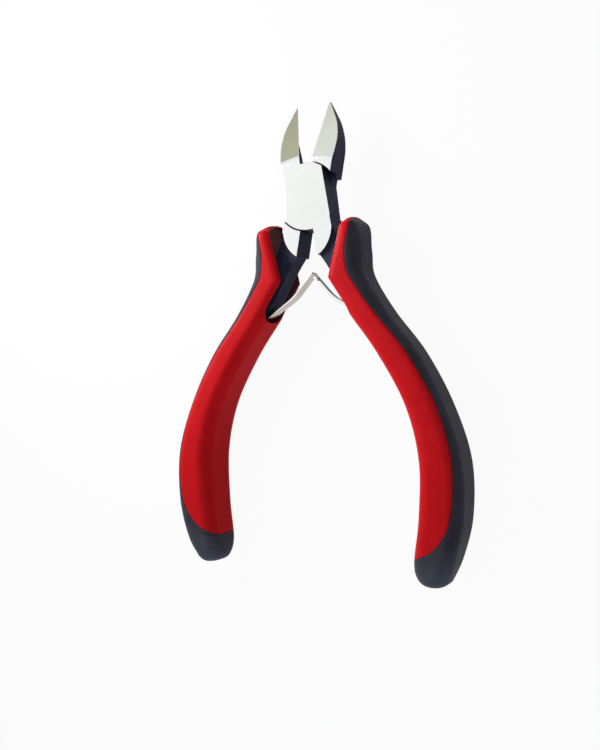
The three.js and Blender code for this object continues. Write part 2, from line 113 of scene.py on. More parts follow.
class Sheet:
    """A material's node sheet, with short calls for what the finishes share."""

    noise_limits: Pair = (0.3, 0.7)  # nearly all values of a noise lie between these
    rub_limits: Pair = (0.6, 1.0)  # least and most of the tone of wear and painted sheen that such a place takes

    def __init__(self, name: str) -> None:
        """Start a sheet with one shader on the surface.

        Args:
            name: The material's name.
        """
        self.material = bpy.data.materials.new(name)
        self.material.use_nodes = True
        self.tree = self.material.node_tree
        self.tree.nodes.clear()
        self.shader = self.add("ShaderNodeBsdfPrincipled")
        output = self.add("ShaderNodeOutputMaterial")
        self.join(self.shader.outputs["BSDF"], output.inputs["Surface"])
        self.place = self.add("ShaderNodeTexCoord").outputs["Object"]

    def add(self, kind: str) -> bpy.types.Node:
        """A new node of a kind."""
        return self.tree.nodes.new(kind)

    def join(self, source: Socket, target: Socket) -> None:
        """Link one socket to another."""
        self.tree.links.new(source, target)

    def noise(self, size: Triple, detail: float) -> Socket:
        """A noise with patches of a given size on the piece's own coordinates.

        Args:
            size: Length of a patch along each axis, in millimetres.
            detail: Octaves of finer noise.

        Returns:
            The noise's value.
        """
        mapping = self.add("ShaderNodeMapping")
        mapping.vector_type = "TEXTURE"
        mapping.inputs["Scale"].default_value = [length * MM for length in size]
        self.join(self.place, mapping.inputs["Vector"])
        noise = self.add("ShaderNodeTexNoise")
        noise.inputs["Scale"].default_value = 1
        noise.inputs["Detail"].default_value = detail
        self.join(mapping.outputs["Vector"], noise.inputs["Vector"])
        return noise.outputs["Fac"]

    def shades(self, value: Socket, dark: Colour, light: Colour) -> Socket:
        """A colour between two, by a noise's value.

        Args:
            value: The noise's value.
            dark: The colour at its lower limit.
            light: The colour at its upper limit.

        Returns:
            The colour.
        """
        ramp = self.add("ShaderNodeValToRGB")
        for element, place, colour in zip(ramp.color_ramp.elements, self.noise_limits, (dark, light)):
            element.position = place
            element.color = (*colour, 1)
        self.join(value, ramp.inputs["Fac"])
        return ramp.outputs["Color"]

    def spread(self, value: Socket, limits: Pair) -> Socket:
        """A number between two, by a noise's value.

        Args:
            value: The noise's value.
            limits: The numbers at its lower and its upper limit.

        Returns:
            The number.
        """
        reach = self.add("ShaderNodeMapRange")
        ends = ("From Min", "From Max", "To Min", "To Max")
        for end, number in zip(ends, (*self.noise_limits, *limits)):
            reach.inputs[end].default_value = number
        self.join(value, reach.inputs["Value"])
        return reach.outputs["Result"]

    def rub(self, colour: Socket, tone: Colour, value: Socket) -> Socket:
        """Bring a colour towards a tone of wear and painted sheen where the mesh's own value says, broken up
        by a noise's value.

        Args:
            colour: The colour where the mesh's value is nothing.
            tone: The colour of wear and painted sheen, where the value is full.
            value: The noise's value.

        Returns:
            The mixed colour.
        """
        sheen_and_wear = self.add("ShaderNodeAttribute")
        sheen_and_wear.attribute_name = SHEEN_AND_WEAR
        broken = self.add("ShaderNodeMath")
        broken.operation = "MULTIPLY"
        self.join(sheen_and_wear.outputs["Fac"], broken.inputs[0])
        self.join(self.spread(value, self.rub_limits), broken.inputs[1])
        mix = self.add("ShaderNodeMix")
        mix.data_type = "RGBA"
        ends = {socket.identifier: socket for socket in (*mix.inputs, *mix.outputs)}
        self.join(broken.outputs[0], ends["Factor_Float"])
        self.join(colour, ends["A_Color"])
        ends["B_Color"].default_value = (*tone, 1)
        return ends["Result_Color"]

    def relief(self, value: Socket, depth: float) -> None:
        """Raise the surface by a noise's value.

        Args:
            value: The noise's value.
            depth: How far a value of one raises the surface, in millimetres.
        """
        bump = self.add("ShaderNodeBump")
        bump.inputs["Strength"].default_value = 1
        bump.inputs["Distance"].default_value = depth * MM
        self.join(value, bump.inputs["Height"])
        self.join(bump.outputs["Normal"], self.shader.inputs["Normal"])


@dataclass(frozen=True)
class Finish:
    """A surface finish: two close tones in soft patches, and a grain that breaks up the gloss."""

    name: str
    dark: Colour
    light: Colour
    gloss: Pair  # limits of the roughness
    patch: float  # size of the tonal patches, mm
    grain: Triple  # size of the grain along each axis, mm
    relief: float  # depth of the grain, mm
    metallic: float = 0.0
    specular: float = 0.5
    worn: Colour | None = None  # tone of the places with wear and a painted sheen
    patch_detail: float = 3.0  # octaves of finer noise in the patches
    grain_detail: float = 4.0  # and in the grain

    def material(self) -> bpy.types.Material:
        """The finish as a material, made once.

        Returns:
            The material with this finish's name.
        """
        found = bpy.data.materials.get(self.name)
        if found:
            return found
        sheet = Sheet(self.name)
        patches = sheet.noise((self.patch,) * 3, self.patch_detail)
        grain = sheet.noise(self.grain, self.grain_detail)
        colour = sheet.shades(patches, self.dark, self.light)
        if self.worn:
            colour = sheet.rub(colour, self.worn, patches)
        sheet.join(colour, sheet.shader.inputs["Base Color"])
        sheet.join(sheet.spread(grain, self.gloss), sheet.shader.inputs["Roughness"])
        sheet.relief(grain, self.relief)
        sheet.shader.inputs["Metallic"].default_value = self.metallic
        sheet.shader.inputs["Specular IOR Level"].default_value = self.specular
        return sheet.material


POLISHED = Finish(
    name="polished_steel",
    dark=(0.81, 0.825, 0.81),
    light=(0.85, 0.86, 0.85),
    gloss=(0.1, 0.16),
    patch=9,
    grain=(6, 0.05, 6),
    relief=0.0006,
    metallic=1,
)
GROUND = Finish(
    name="ground_steel",
    dark=(0.84, 0.85, 0.82),
    light=(0.89, 0.9, 0.88),
    gloss=(0.11, 0.17),
    patch=5,
    grain=(4, 0.06, 4),
    relief=0.001,
    metallic=1,
)
BLACKENED = Finish(
    name="blackened_steel",
    dark=(0.026, 0.03, 0.056),
    light=(0.04, 0.046, 0.082),
    gloss=(0.4, 0.56),
    patch=3,
    grain=(0.12, 0.12, 0.12),
    relief=0.004,
    specular=0.04,
)
SPRING_STRIP = Finish(
    name="spring_strip_steel",
    dark=(0.46, 0.41, 0.36),
    light=(0.53, 0.47, 0.41),
    gloss=(0.2, 0.3),
    patch=3,
    grain=(0.08, 0.08, 5),
    relief=0.0008,
    metallic=1,
)
# painted shade: the strip's upper side, darkened in colour for the shade on that side; it is the same steel
# as the lower side
STRIP_PAINTED_SHADE = Finish(
    name="strip_steel_painted_shade",
    dark=(0.035, 0.031, 0.027),
    light=(0.055, 0.05, 0.044),
    gloss=(0.3, 0.4),
    patch=3,
    grain=(0.08, 0.08, 5),
    relief=0.0008,
    metallic=1,
)
RED_PLASTIC = Finish(
    name="red_grip_plastic",
    dark=(0.56, 0.006, 0.01),
    light=(0.62, 0.008, 0.013),
    gloss=(0.42, 0.55),
    patch=7,
    grain=(0.22, 0.22, 0.22),
    relief=0.006,
    specular=0.06,
)
# painted shade: the red plastic inside the slot, darkened in colour for the shade that falls in it
SLOT_PAINTED_SHADE = Finish(
    name="red_slot_painted_shade",
    dark=(0.09, 0.02, 0.023),
    light=(0.13, 0.028, 0.032),
    gloss=(0.5, 0.65),
    patch=2,
    grain=(0.3, 0.3, 0.3),
    relief=0.006,
    specular=0.15,
)
BLACK_RUBBER = Finish(
    name="black_grip_rubber",
    dark=(0.037, 0.035, 0.049),
    light=(0.052, 0.049, 0.067),
    gloss=(0.5, 0.64),
    patch=5,
    grain=(0.16, 0.16, 0.16),
    relief=0.008,
    specular=0.06,
    # painted sheen: the lighter bluish toe tone is partly wear and partly a painted highlight where light
    # catches the lower end
    worn=(0.075, 0.085, 0.105),
)


def link(name: str, data: bpy.types.ID) -> bpy.types.Object:
    """Put a mesh, curve, light or camera into the scene as an object at the origin.

    Args:
        name: The object's name, which its data gets too.
        data: What the object holds.

    Returns:
        The new object.
    """
    data.name = name
    made = bpy.data.objects.new(name, data)
    bpy.context.scene.collection.objects.link(made)
    return made


def mesh_of(form: bmesh.types.BMesh, name: str) -> bpy.types.Mesh:
    """Turn a form into a plain mesh, which uses it up.

    Args:
        form: The finished form.
        name: The mesh's name.

    Returns:
        The mesh.
    """
    mesh = bpy.data.meshes.new(name)
    form.to_mesh(mesh)
    form.free()
    return mesh


def finished(piece: bpy.types.Object, name: str) -> bpy.types.Object:
    """Turn an object with modifiers into a plain mesh object and remove the first one.

    Args:
        piece: The object whose modifiers are used up.
        name: Name of the plain object.

    Returns:
        The plain object.
    """
    graph = bpy.context.evaluated_depsgraph_get()
    mesh = bpy.data.meshes.new_from_object(piece.evaluated_get(graph))
    bpy.data.objects.remove(piece)
    return link(name, mesh)


def smooth_shade(mesh: bpy.types.Mesh, crease: float) -> None:
    """Shade a mesh smoothly, with sharp edges above an angle in degrees."""
    mesh.polygons.foreach_set("use_smooth", [True] * len(mesh.polygons))
    mesh.set_sharp_from_angle(angle=math.radians(crease))


def spline(points: Line, at: float) -> Line:
    """A point of the smooth curve through evenly numbered points.

    Args:
        points: The points, one to a row.
        at: Place along the curve, counted in points.

    Returns:
        The point there.
    """
    last = len(points) - 1
    i = min(max(int(math.floor(at)), 0), last - 1)
    w = at - i
    before, start, end, after = points[max(i - 1, 0)], points[i], points[i + 1], points[min(i + 2, last)]
    leave, arrive = (end - before) / 2, (after - start) / 2
    cubic = 2 * start - 2 * end + leave + arrive
    square = -3 * start + 3 * end - 2 * leave - arrive
    return cubic * w**3 + square * w**2 + leave * w + start


def bezier(start: Line, corner: Line, end: Line, count: int) -> Line:
    """Points of a round between two lines, without its ends."""
    shares = np.linspace(0, 1, count + 2)[1:-1, None]
    return (1 - shares) ** 2 * start + 2 * shares * (1 - shares) * corner + shares**2 * end


def lengths_along(line: Line) -> Line:
    """Distance of each point from the line's start."""
    steps = np.linalg.norm(np.diff(line, axis=0), axis=1)
    return np.concatenate([[0], np.cumsum(steps)])


def resample(line: Line, count: int, start: float = 0.0, stop: float = 0.0) -> Line:
    """Evenly spaced points on a line.

    Args:
        line: The line's points.
        count: How many points to give.
        start: Length to leave out at the start.
        stop: Length to leave out at the end.

    Returns:
        The new points.
    """
    along = lengths_along(line)
    wanted = np.linspace(start, along[-1] - stop, count)
    return np.stack([np.interp(wanted, along, line[:, axis]) for axis in range(line.shape[1])], axis=1)


def split(line: Line, axis: int, value: float) -> tuple[Line, Line]:
    """Cut a line where it first falls to a value on one axis.

    Args:
        line: The line's points, whose values on that axis fall along it.
        axis: The axis to look at.
        value: The value to cut at.

    Returns:
        The part before the cut and the part after it.
    """
    below = np.nonzero(line[:, axis] <= value)[0]
    if not len(below):
        return line, line[-1:]
    i = below[0]
    if i == 0:
        return line[:1], line
    drop = line[i - 1, axis] - line[i, axis]
    share = (line[i - 1, axis] - value) / drop
    cut = line[i - 1] + share * (line[i] - line[i - 1])
    return np.vstack([line[:i], cut]), np.vstack([cut, line[i:]])


def split_at(line: Line, length: float) -> tuple[Line, Line]:
    """Cut a line at a length from its start.

    Args:
        line: The line's points.
        length: The length to cut at.

    Returns:
        The part before the cut and the part after it.
    """
    along = lengths_along(line)
    length = min(max(length, 0), along[-1])
    i = int(np.searchsorted(along, length, side="right"))
    cut = np.array([np.interp(length, along, line[:, axis]) for axis in range(line.shape[1])])
    return np.vstack([line[:i], cut]), np.vstack([cut, line[i:]])


@dataclass(frozen=True)
class GripRails:
    """The grip's two sides and thickness at stations along it, in the closed pose."""

    top: float = 8.7  # pivot to the top of the grip
    length: float = 88.2
    reach: float = 26.9  # closing line to the outermost side
    beak: int = 3  # station of the point on the inner side
    step: float = 0.02  # stations over which a direction is measured
    inner: tuple[Pair, ...] = (
        (0.323, 0),
        (0.275, 0.018),
        (0.158, 0.08),
        (0.06, 0.143),
        (0.219, 0.253),
        (0.416, 0.375),
        (0.591, 0.525),
        (0.63, 0.672),
        (0.53, 0.82),
        (0.41, 0.929),
        (0.372, 0.98),
    )
    outer: tuple[Pair, ...] = (
        (0.415, 0.001),
        (0.456, 0.027),
        (0.444, 0.09),
        (0.431, 0.158),
        (0.565, 0.266),
        (0.784, 0.395),
        (0.937, 0.543),
        (1, 0.695),
        (0.922, 0.841),
        (0.775, 0.944),
        (0.66, 1.0),
    )
    thickness: tuple[float, ...] = (9, 11.8, 12, 12, 12, 12, 12.7, 13.4, 12.9, 11.8, 8.6)

    @property
    def last(self) -> int:
        """The last station."""
        return len(self.thickness) - 1

    def points(self, shares: tuple[Pair, ...]) -> Line:
        """Stations of one side, in millimetres."""
        return np.array([(side * self.reach, -self.top - along * self.length) for side, along in shares])

    def inner_side(self, station: float) -> Line:
        """A point on the inner side, which has a corner at the beak.

        Args:
            station: Place along the grip.

        Returns:
            The point, in millimetres.
        """
        points = self.points(self.inner)
        if station <= self.beak:
            return spline(points[: self.beak + 1], station)
        return spline(points[self.beak :], station - self.beak)

    def outer_side(self, station: float) -> Line:
        """A point on the outer side."""
        return spline(self.points(self.outer), station)

    def half_thickness(self, station: float) -> float:
        """Half the grip's thickness."""
        return float(spline(np.array(self.thickness)[:, None], station)[0]) / 2

    def half_width(self, station: float) -> float:
        """Half the distance between the two sides."""
        return float(np.linalg.norm(self.outer_side(station) - self.inner_side(station))) / 2

    def middle(self, station: float) -> Line:
        """The point half way between the two sides."""
        return (self.inner_side(station) + self.outer_side(station)) / 2

    def outer_way(self, station: float) -> Line:
        """Direction of the outer side, towards the end."""
        way = self.outer_side(station) - self.outer_side(station - self.step)
        return way / np.linalg.norm(way)

    def along(self, station: float) -> Line:
        """Direction of the grip, towards its end."""
        way = self.middle(min(station + self.step, self.last)) - self.middle(max(station - self.step, 0))
        return way / np.linalg.norm(way)


@dataclass(frozen=True)
class Section:
    """A place for one ring of the grip."""

    station: float
    inset: float = 0.0  # the ring is smaller than the grip's section by this much, all round
    shift: float = 0.0  # distance past the station, along the outer side
    tuck: float = 0.0  # the inner side is drawn in by this much more


class GripZone(Enum):
    """Zones of the grip's core, in the order of its material slots."""

    OUTSIDE = 0
    # the faces inside the slot, which take the painted shade
    SLOT = 1

    @property
    def finish(self) -> Finish:
        """The zone's finish."""
        return (RED_PLASTIC, SLOT_PAINTED_SHADE)[self.value]


@dataclass
class Grip:
    """One two-colour grip: a hard core with an open slot, and a soft cover over its outer side and end."""

    side: Side
    rails: GripRails = GripRails()
    corner: float = 3.3  # round of the section
    fullest: float = 0.96  # a corner takes at most this share of the half section
    crown: float = 0.05  # the broad faces fall off by this share towards their edges
    top_round: float = 1.15
    dome: float = 1.0  # the top rises by this much at mid thickness
    lean: Pair = (0.35, 0.9)  # the top is lower at the front and higher at the back by this much
    lean_run: float = 1.7  # stations over which the lean fades
    end_round: float = 2.2
    end_slope: float = math.radians(20)  # the sides already close by this much where the rounded end starts
    toe_round: float = 1.9  # round of the inner side at the lower end
    toe_run: float = 4.0  # length of that round along the grip
    rub_run: float = 11.0  # length of the end that takes wear and a painted sheen
    seam_gap: float = 0.03
    seam_round: float = 0.25
    round_share: float = 0.3  # that round takes at most this share of the skin on either side of it
    seam_slide: float = 0.09  # the lower seam lies further along by this much, less far on the left grip
    slide_run: Pair = (7.0, 8.2)  # stations between which it slides
    seam_window: float = 0.15  # stations to each side over which the seam is evened out
    seam_full: float = 0.995  # the core ends where the seam lies this far across
    end_search: tuple[float, float, int] = (8, 9.5, 600)  # stations to look at for that end, and how many
    arch_top: float = 0.1  # station where the cover's arched top begins
    arch_foot: float = 1.0  # station where the arch runs out into the seam
    arch_least: float = 0.3  # the cover starts where its arch is this wide
    arch_search: tuple[float, float, int] = (0, 1, 400)  # stations to look at for that start, and how many
    inlay: float = 0.4  # depth of the cover in its arch
    slot_half: float = 4.6  # half height of the open slot
    slot_top: float = 0.12  # station where the slot starts
    slot_end: float = 3.75  # station where its lower end starts to close
    slot_ahead: float = 0.5  # stations past that over which the grip's length is measured
    slot_shut: float = 0.01  # stations past the slot to the first ring without it
    slot_fade: float = 0.3  # stations over which its top opens
    slot_wall: float = 1.3  # least wall beside the slot
    slot_least: float = 0.05  # a slot of less than this half height is left closed
    lip_round: float = 0.9
    lip_run: float = 1.2  # stations over which the lip reaches that round
    top_run: float = 0.6  # stations with closer rings at the rounded top
    low_run: Pair = (7.6, 9.1)  # stations with closer rings at the lower seam
    even_rings: int = 12  # rings to a station elsewhere
    easing_rings: int = 14
    closing_rings: int = 16
    low_rings: int = 64
    end_rings: int = 8
    station_digits: int = 4  # stations that agree to this many decimals share a ring
    skin_points: int = 40
    corner_points: int = 20
    face_points: int = 12
    round_points: int = 4
    wall_points: int = 4
    window_points: int = 7
    merge: float = 0.004  # points this close are one
    sliver: float = 0.002  # faces this thin are dissolved
    crease: float = 50.0  # degrees, above which an edge is shaded sharp
    seam: tuple[Pair, ...] = (
        (0.5, 0.1),
        (1, 0.27),
        (1.5, 0.39),
        (2, 0.42),
        (3, 0.3),
        (4, 0.235),
        (5, 0.18),
        (6, 0.13),
        (7, 0.15),
        (7.7, 0.19),
        (8.15, 0.26),
        (8.5, 0.42),
        (8.77, 0.68),
        (8.93, 1.15),
    )
    floor: tuple[Pair, ...] = ((0.1, 0.62), (0.95, 0.6), (2, 0.57), (3, 0.46), (4.4, 0.4))

    def seam_share(self, station: float) -> float:
        """How far across the grip the seam lies, evened out along it.

        Args:
            station: Place along the grip.

        Returns:
            The share of the grip's width between the outer side and the seam.
        """
        stations, shares = zip(*self.seam)
        slide = self.side.sign * float(np.interp(station, self.slide_run, (0, self.seam_slide)))
        window = np.linspace(-self.seam_window, self.seam_window, self.window_points)
        return float(np.interp(station - slide + window, stations, shares).mean())

    @property
    def end_length(self) -> float:
        """How far the rounded end reaches past the last station."""
        return self.end_round * (1 - math.sin(self.end_slope))

    def toe_tuck(self, left: float) -> float:
        """How far the inner side is drawn in where this much of the grip is left."""
        share = min(max(1 - left / self.toe_run, 0), 1)
        return self.toe_round * (1 - math.sqrt(1 - share**2))

    def section(self, station: float) -> Section:
        """The ring at a station, drawn in near the rounded top and on the inner side of the toe.

        Args:
            station: Place along the grip.

        Returns:
            The ring's place.
        """
        top, here, end = (self.rails.middle(at) for at in (0, station, self.rails.last))
        short = max(self.top_round - float(np.linalg.norm(here - top)), 0.0)
        inset = self.top_round - math.sqrt(self.top_round**2 - short**2)
        left = float(np.linalg.norm(end - here)) + self.end_length
        return Section(station, inset, tuck=self.toe_tuck(left))

    def half_sizes(self, at: Section) -> Pair:
        """Half the width and half the thickness of a ring."""
        half = self.rails.half_width(at.station) - at.inset - at.tuck / 2
        return half, self.rails.half_thickness(at.station) - at.inset

    def outline(self, at: Section) -> Line:
        """Upper half of a ring's section.

        Args:
            at: The ring.

        Returns:
            The points from the middle of the outer side to the middle of the inner one.
        """
        half, height = self.half_sizes(at)
        corner = min(self.corner, self.fullest * half, self.fullest * height)
        angles = np.linspace(0, QUARTER, self.corner_points)[:, None]
        arc = corner * np.hstack([np.cos(angles), np.sin(angles)])
        outer = arc + (half - corner, height - corner)
        inner = outer[::-1] * (-1, 1)
        flat = np.linspace(outer[-1], inner[0], self.face_points)[1:-1]
        line = np.vstack([[(half, 0)], outer, flat, inner, [(-half, 0)]])
        line[:, 1] *= 1 - self.crown * (line[:, 0] / half) ** 2
        return line

    def share_length(self, at: Section) -> float:
        """Length of the outline from the middle of the outer side to the place of the seam's share."""
        place = self.half_sizes(at)[0] * (1 - 2 * self.seam_share(at.station))
        return float(lengths_along(split(self.outline(at), 0, place)[0])[-1])

    def seam_length(self, station: float) -> float:
        """Length of the outline that the cover takes, from nothing at the top of its arch.

        Args:
            station: Place along the grip.

        Returns:
            The length from the middle of the outer side to the seam, in millimetres.
        """
        if station <= self.arch_top:
            return 0.0
        if station >= self.arch_foot:
            return self.share_length(self.section(station))
        climb = (self.arch_foot - station) / (self.arch_foot - self.arch_top)
        return self.share_length(self.section(self.arch_foot)) * math.sqrt(1 - climb**2)

    def seam_wall(self, at: Section, length: float, point: Line) -> float:
        """Place of the wall under the seam, which is no shallower than the cover's inlay."""
        return min(point[0], self.half_sizes(at)[0] - min(self.inlay, length / 2))

    def seam_rounding(self, *beside: float) -> float:
        """Round at the seam, where the skin beside it has these lengths."""
        return min(self.seam_round, *(self.round_share * length for length in beside))

    def past_slot(self, station: float) -> float:
        """Distance on the inner side from where the slot's lower end starts to close."""
        return float(np.linalg.norm(self.rails.inner_side(station) - self.rails.inner_side(self.slot_end)))

    def slot_height(self, station: float) -> float:
        """Half height of the slot, which closes in a round at both its ends.

        Args:
            station: Place along the grip.

        Returns:
            The half height, in millimetres.
        """
        if station <= self.slot_top:
            return 0
        limit = min(self.slot_half, self.half_sizes(self.section(station))[1] - self.slot_wall)
        opened = min((station - self.slot_top) / self.slot_fade, 1)
        if station <= self.slot_end:
            return limit * math.sqrt(1 - (1 - opened) ** 2)
        return math.sqrt(max(self.slot_half**2 - self.past_slot(station) ** 2, 0))

    @property
    def slot_points(self) -> int:
        """How many points the lip, the wall and the floor of the slot have, with two on the floor."""
        return self.round_points + self.wall_points + 2

    def slot_lip(self, at: Section, rest: Line) -> tuple[Line, Line]:
        """The skin up to the slot, and the lip, wall and floor of the slot.

        Args:
            at: The ring.
            rest: The core's part of the outline.

        Returns:
            The skin, and the points from its end to the middle of the floor.
        """
        half, height = self.half_sizes(at)[0], self.slot_height(at.station)
        stations, shares = zip(*self.floor)
        depth = half * (1 - 2 * float(np.interp(at.station, stations, shares)))
        lip = min(self.lip_round * (at.station - self.slot_top) / self.lip_run, self.lip_round, height / 2)
        front, back = split(rest, 0, 0.0)
        corner = split(back, 1, height)[0][-1]
        if height < self.slot_least or depth < corner[0] + 2 * lip:
            return rest, np.repeat([(-half, 0.0)], self.slot_points, axis=0)
        skin = np.vstack([front, split(back, 1, height + lip)[0]])
        inside = np.array((corner[0] + lip, height))
        wall = np.linspace(inside, (depth, height), self.wall_points)
        lips = bezier(skin[-1], corner, inside, self.round_points)
        return skin, np.vstack([lips, wall, [(depth, height / 2), (depth, 0)]])

    def core_chain(self, at: Section) -> Line:
        """Upper half of the core's section.

        Args:
            at: The ring.

        Returns:
            The points from the middle of the seam's wall, over the skin, to the middle of the slot's floor.
        """
        length = self.seam_length(at.station)
        rest = split_at(self.outline(at), length)[1]
        point = rest[0]
        skin, slot = self.slot_lip(at, rest)
        rounding = self.seam_rounding(length, float(lengths_along(skin)[-1]))
        kept = resample(skin, self.skin_points, start=rounding)
        low = np.array((self.seam_wall(at, length, point), max(point[1] - rounding, 0)))
        wall = [(low[0], 0), (low[0], low[1] / 2), low]
        return np.vstack([wall, bezier(low, point, kept[0], self.round_points), kept, slot])

    def cover_chain(self, at: Section) -> Line:
        """Upper half of the cover's section.

        Args:
            at: The ring.

        Returns:
            The points from the middle of the outer side to the middle of the seam's wall.
        """
        line = self.outline(at)
        whole = float(lengths_along(line)[-1])
        length = self.seam_length(at.station)
        gap = self.seam_gap if self.seam_share(at.station) < 1 else 0.0
        skin = split_at(line, length - gap)[0]
        point = skin[-1]
        rounding = self.seam_rounding(length, max(whole - length, 0))
        kept = resample(skin, self.skin_points, stop=rounding)
        wall = min(point[0], self.seam_wall(at, length, point) + gap)
        low = np.array((wall, max(point[1] - rounding, 0)))
        seam = [low, (low[0], low[1] / 2), (low[0], 0)]
        return np.vstack([kept, bezier(kept[-1], point, low, self.round_points), seam])

    def ring(self, at: Section, chain: Line) -> Line:
        """A whole section in space.

        Args:
            at: The ring's place.
            chain: Upper half of the section.

        Returns:
            The ring's points, in millimetres.
        """
        inner, outer = self.rails.inner_side(at.station), self.rails.outer_side(at.station)
        across = (outer - inner) / np.linalg.norm(outer - inner)
        centre = (inner + outer + at.tuck * across) / 2 + at.shift * self.rails.outer_way(at.station)
        whole = np.vstack([chain, chain[-2:0:-1] * (1, -1)])
        level = np.clip(whole[:, 1:] / self.rails.half_thickness(0), -1, 1)
        bow = self.dome * max(1 - at.station, 0) ** 2 * (1 - level**2)
        slope = np.where(level > 0, *self.lean) * max(1 - at.station / self.lean_run, 0) ** 2 * level
        flat = centre + whole[:, :1] * across - (bow - slope) * self.rails.along(at.station)
        return np.hstack([flat, whole[:, 1:] + MIDDLE])

    def stations(self, first: float, last: float) -> Line:
        """Places for the rings, closer together at the rounded top, the slot's ends and the lower seam.

        Args:
            first: The first station.
            last: The last station.

        Returns:
            The stations in order.
        """
        even = np.linspace(0, self.rails.last, self.rails.last * self.even_rings + 1)
        easing = 1 - np.cos(np.linspace(0, QUARTER, self.easing_rings))
        top = self.top_run * easing
        arch = self.arch_top + (self.arch_foot - self.arch_top) * easing
        opening = self.slot_top + self.slot_fade * easing
        run = self.slot_ahead * self.slot_half / self.past_slot(self.slot_end + self.slot_ahead)
        closing = self.slot_end + run * np.sin(np.linspace(0, QUARTER, self.closing_rings))
        low = np.linspace(*self.low_run, self.low_rings)
        places = [even, top, arch, opening, closing, low, [first, last, closing[-1] + self.slot_shut]]
        every = np.unique(np.round(np.concatenate(places), self.station_digits))
        return every[(every >= first - TINY) & (every <= last + TINY)]

    def skin(self, rings: list[Line], slot: range) -> bpy.types.Mesh:
        """A closed skin over rings of equal count, with its ends drawn to a point.

        Args:
            rings: The rings in order along the grip, in millimetres.
            slot: The columns of faces that lie inside the slot.

        Returns:
            The mesh, placed on this side of the open tool.
        """
        form = bmesh.new()
        rows = [[form.verts.new(point) for point in ring] for ring in rings]
        count = len(rows[0])
        for row, after in zip(rows, rows[1:]):
            for i in range(count):
                j = (i + 1) % count
                face = form.faces.new((row[i], row[j], after[j], after[i]))
                face.material_index = GripZone.SLOT.value if i in slot else GripZone.OUTSIDE.value
        for row in (rows[0], rows[-1]):
            centre = form.verts.new(np.mean([vertex.co for vertex in row], axis=0))
            for i in range(count):
                form.faces.new((row[i], row[(i + 1) % count], centre))
        bmesh.ops.remove_doubles(form, verts=form.verts, dist=self.merge)
        bmesh.ops.dissolve_degenerate(form, edges=form.edges, dist=self.sliver)
        form.transform(self.side.opening)
        form.normal_update()
        bmesh.ops.recalc_face_normals(form, faces=form.faces)
        mesh = mesh_of(form, "grip")
        smooth_shade(mesh, self.crease)
        return mesh

    def end_sections(self) -> list[Section]:
        """Rings of the rounded lower end, from the last station on.

        Returns:
            The rings' places.
        """
        rings = []
        for angle in np.linspace(self.end_slope, QUARTER, self.end_rings + 1)[1:]:
            inset = self.end_round * (math.cos(self.end_slope) - math.cos(angle))
            shift = self.end_round * (math.sin(angle) - math.sin(self.end_slope))
            rings.append(Section(self.rails.last, inset, shift, self.toe_tuck(self.end_length - shift)))
        return rings

    def core(self) -> bpy.types.Object:
        """The hard core, which ends where the seam reaches the inner side.

        Returns:
            The piece.
        """
        last = next(at for at in np.linspace(*self.end_search) if self.seam_share(at) >= self.seam_full)
        places = [self.section(at) for at in self.stations(0, last)]
        rings = [self.ring(at, self.core_chain(at)) for at in places]
        inside = len(self.core_chain(places[0])) - self.slot_points + self.round_points - 1
        mesh = self.skin(rings, range(inside, len(rings[0]) - inside))
        for zone in GripZone:
            mesh.materials.append(zone.finish.material())
        return link(f"{self.side.value}_grip_red_core", mesh)

    def rub_end(self, mesh: bpy.types.Mesh) -> None:
        """Note how much wear and painted sheen each point of the cover takes, which grows towards the end
        that the tool stands on.

        Args:
            mesh: The cover's mesh.
        """
        closed = self.side.opening.inverted()
        lowest = -self.rails.top - self.rails.length - self.end_length
        left = np.array([(closed @ vertex.co).y - lowest for vertex in mesh.vertices])
        sheen_and_wear = mesh.attributes.new(SHEEN_AND_WEAR, "FLOAT", "POINT")
        sheen_and_wear.data.foreach_set("value", np.clip(1 - left / self.rub_run, 0, 1))

    def cover(self) -> bpy.types.Object:
        """The soft cover, from its arched top to the end of the grip.

        Returns:
            The piece.
        """
        first = next(at for at in np.linspace(*self.arch_search) if self.seam_length(at) > self.arch_least)
        places = [self.section(at) for at in self.stations(first, self.rails.last)] + self.end_sections()
        mesh = self.skin([self.ring(at, self.cover_chain(at)) for at in places], range(0))
        self.rub_end(mesh)
        mesh.materials.append(BLACK_RUBBER.material())
        return link(f"{self.side.value}_grip_black_cover", mesh)

    def build(self) -> list[bpy.types.Object]:
        """Make the core and the cover and put them on the handle's body.

        Returns:
            The two pieces.
        """
        pieces = [self.core(), self.cover()]
        for piece, node, slot in zip(pieces, ("core", "cover"), ("red_plastic", "black_rubber")):
            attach(piece, self.side.body)
            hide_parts(f"{self.side.value}_grip_{node}")
        return pieces


class Zone(Enum):
    """Zones of a steel half, in the order of its material slots."""

    BLACKENED = 0
    POLISHED = 1
    GROUND = 2

    @property
    def finish(self) -> Finish:
        """The zone's finish."""
        return (BLACKENED, POLISHED, GROUND)[self.value]


